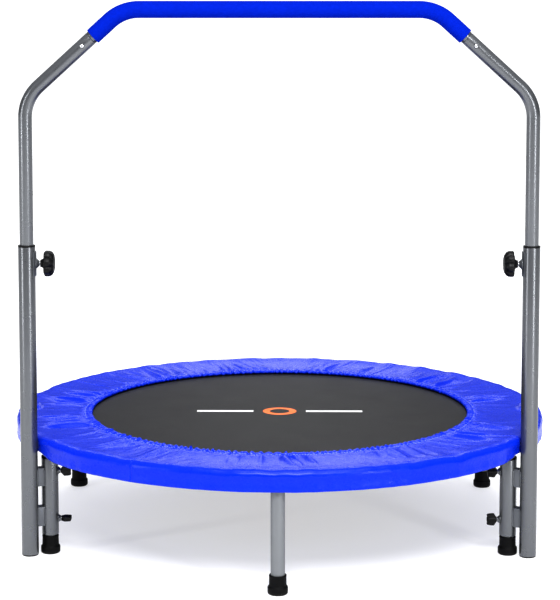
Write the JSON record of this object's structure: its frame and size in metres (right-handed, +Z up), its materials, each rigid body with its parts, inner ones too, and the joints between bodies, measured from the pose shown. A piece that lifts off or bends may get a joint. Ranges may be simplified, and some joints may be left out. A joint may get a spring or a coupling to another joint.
{
  "type": "mini trampoline",
  "caption": "Round fitness trampoline that folds in half, with a padded blue rim, a dark jumping mat, tube legs and a height-adjustable U-shaped hand rail with a foam grip.",
  "frame": {"origin": "on the floor under the centre of the frame ring", "axes": "+Z up, +X to the right and +Y away from a person who faces the object from the hand rail's side; the rail stands at -Y"},
  "size_m": [1.0398, 1.04, 1.0332],
  "materials": {
    "frame_paint": "silver-grey semi-gloss powder coat",
    "bright_steel": "bright zinc plate",
    "spring_steel": "galvanised spring wire and black edge webbing",
    "black_plastic": "moulded black nylon, fine grain",
    "foot_rubber": "matt black rubber",
    "grip_foam": "matt blue closed-cell foam",
    "pad_vinyl": "semi-gloss royal-blue coated fabric over foam, gathered at the inner hem",
    "mat_mesh": "woven black polypropylene mesh"
  },
  "bodies": {
    "front_frame": {"front_frame_half": "frame_paint", "front_mat_half": "mat_mesh", "front_springs": "spring_steel", "front_pad_half": "pad_vinyl", "front_left_leg": "frame_paint", "front_left_foot": "foot_rubber", "front_middle_leg": "frame_paint", "front_middle_foot": "foot_rubber", "front_right_leg": "frame_paint", "front_right_foot": "foot_rubber", "left_hinge_front_leaf": "frame_paint", "right_hinge_front_leaf": "frame_paint", "left_hinge_pin": "bright_steel", "right_hinge_pin": "bright_steel", "left_sleeve": "frame_paint", "left_sleeve_liner": "black_plastic", "left_post": "frame_paint", "left_post_collar": "black_plastic", "left_post_plug": "black_plastic", "left_upper_bracket": "frame_paint", "left_lower_bracket": "frame_paint", "left_knob_nut": "frame_paint", "right_sleeve": "frame_paint", "right_sleeve_liner": "black_plastic", "right_post": "frame_paint", "right_post_collar": "black_plastic", "right_post_plug": "black_plastic", "right_upper_bracket": "frame_paint", "right_lower_bracket": "frame_paint", "right_knob_nut": "frame_paint"},
    "folding_half": {"back_frame_half": "frame_paint", "back_mat_half": "mat_mesh", "back_springs": "spring_steel", "back_pad_half": "pad_vinyl", "back_left_leg": "frame_paint", "back_left_foot": "foot_rubber", "back_middle_leg": "frame_paint", "back_middle_foot": "foot_rubber", "back_right_leg": "frame_paint", "back_right_foot": "foot_rubber", "left_hinge_back_leaf": "frame_paint", "right_hinge_back_leaf": "frame_paint"},
    "hand_rail": {"left_side_tube": "frame_paint", "right_side_tube": "frame_paint", "top_bar": "frame_paint", "foam_grip": "grip_foam"},
    "left_height_stud": {"left_height_stud": "bright_steel"},
    "left_height_knob": {"left_height_knob": "black_plastic"},
    "left_upper_wing_stud": {"left_upper_wing_stud": "bright_steel"},
    "left_upper_wing_knob": {"left_upper_wing_knob": "black_plastic"},
    "left_lower_wing_stud": {"left_lower_wing_stud": "bright_steel"},
    "left_lower_wing_knob": {"left_lower_wing_knob": "black_plastic"},
    "left_snap_button": {"left_snap_button": "bright_steel"},
    "right_height_stud": {"right_height_stud": "bright_steel"},
    "right_height_knob": {"right_height_knob": "black_plastic"},
    "right_upper_wing_stud": {"right_upper_wing_stud": "bright_steel"},
    "right_upper_wing_knob": {"right_upper_wing_knob": "black_plastic"},
    "right_lower_wing_stud": {"right_lower_wing_stud": "bright_steel"},
    "right_lower_wing_knob": {"right_lower_wing_knob": "black_plastic"},
    "right_snap_button": {"right_snap_button": "bright_steel"}
  },
  "joints": [
    {"name": "frame_fold", "type": "hinge", "parent": "front_frame", "child": "folding_half", "pos_m": [0, 0, 0.2245], "axis": [1, 0, 0], "range_deg": [0, 150]},
    {"name": "rail_height", "type": "slide", "parent": "front_frame", "child": "hand_rail", "axis": [0, 0, 1], "range_m": [-0.195, 0]},
    {"name": "left_height_advance", "type": "slide", "parent": "front_frame", "child": "left_height_stud", "axis": [1, 0, 0], "range_m": [0, 0.005]},
    {"name": "left_height_turn", "type": "hinge", "parent": "left_height_stud", "child": "left_height_knob", "pos_m": [-0.465, -0.264, 0.551], "axis": [1, 0, 0], "range_deg": [0, 1440]},
    {"name": "left_upper_wing_advance", "type": "slide", "parent": "front_frame", "child": "left_upper_wing_stud", "axis": [1, 0, 0], "range_m": [0, 0.00375]},
    {"name": "left_upper_wing_turn", "type": "hinge", "parent": "left_upper_wing_stud", "child": "left_upper_wing_knob", "pos_m": [-0.42894, -0.24765, 0.1575], "axis": [1, 0, 0], "range_deg": [0, 1080]},
    {"name": "left_lower_wing_advance", "type": "slide", "parent": "front_frame", "child": "left_lower_wing_stud", "axis": [1, 0, 0], "range_m": [0, 0.00375]},
    {"name": "left_lower_wing_turn", "type": "hinge", "parent": "left_lower_wing_stud", "child": "left_lower_wing_knob", "pos_m": [-0.42894, -0.24765, 0.066], "axis": [1, 0, 0], "range_deg": [0, 1080]},
    {"name": "left_snap_press", "type": "slide", "parent": "hand_rail", "child": "left_snap_button", "axis": [0, 1, 0], "range_m": [0, 0.003], "stiffness_N_per_m": 1500, "springref_m": -0.002},
    {"name": "right_height_advance", "type": "slide", "parent": "front_frame", "child": "right_height_stud", "axis": [-1, 0, 0], "range_m": [0, 0.005]},
    {"name": "right_height_turn", "type": "hinge", "parent": "right_height_stud", "child": "right_height_knob", "pos_m": [0.465, -0.264, 0.551], "axis": [-1, 0, 0], "range_deg": [0, 1440]},
    {"name": "right_upper_wing_advance", "type": "slide", "parent": "front_frame", "child": "right_upper_wing_stud", "axis": [-1, 0, 0], "range_m": [0, 0.00375]},
    {"name": "right_upper_wing_turn", "type": "hinge", "parent": "right_upper_wing_stud", "child": "right_upper_wing_knob", "pos_m": [0.42894, -0.24765, 0.1575], "axis": [-1, 0, 0], "range_deg": [0, 1080]},
    {"name": "right_lower_wing_advance", "type": "slide", "parent": "front_frame", "child": "right_lower_wing_stud", "axis": [-1, 0, 0], "range_m": [0, 0.00375]},
    {"name": "right_lower_wing_turn", "type": "hinge", "parent": "right_lower_wing_stud", "child": "right_lower_wing_knob", "pos_m": [0.42894, -0.24765, 0.066], "axis": [-1, 0, 0], "range_deg": [0, 1080]},
    {"name": "right_snap_press", "type": "slide", "parent": "hand_rail", "child": "right_snap_button", "axis": [0, 1, 0], "range_m": [0, 0.003], "stiffness_N_per_m": 1500, "springref_m": -0.002}
  ],
  "couplings": [
    {"joint": "left_height_turn", "follows": "left_height_advance", "rad_per_m": 5026.5},
    {"joint": "left_upper_wing_turn", "follows": "left_upper_wing_advance", "rad_per_m": 5026.5},
    {"joint": "left_lower_wing_turn", "follows": "left_lower_wing_advance", "rad_per_m": 5026.5},
    {"joint": "right_height_turn", "follows": "right_height_advance", "rad_per_m": 5026.5},
    {"joint": "right_upper_wing_turn", "follows": "right_upper_wing_advance", "rad_per_m": 5026.5},
    {"joint": "right_lower_wing_turn", "follows": "right_lower_wing_advance", "rad_per_m": 5026.5}
  ]
}
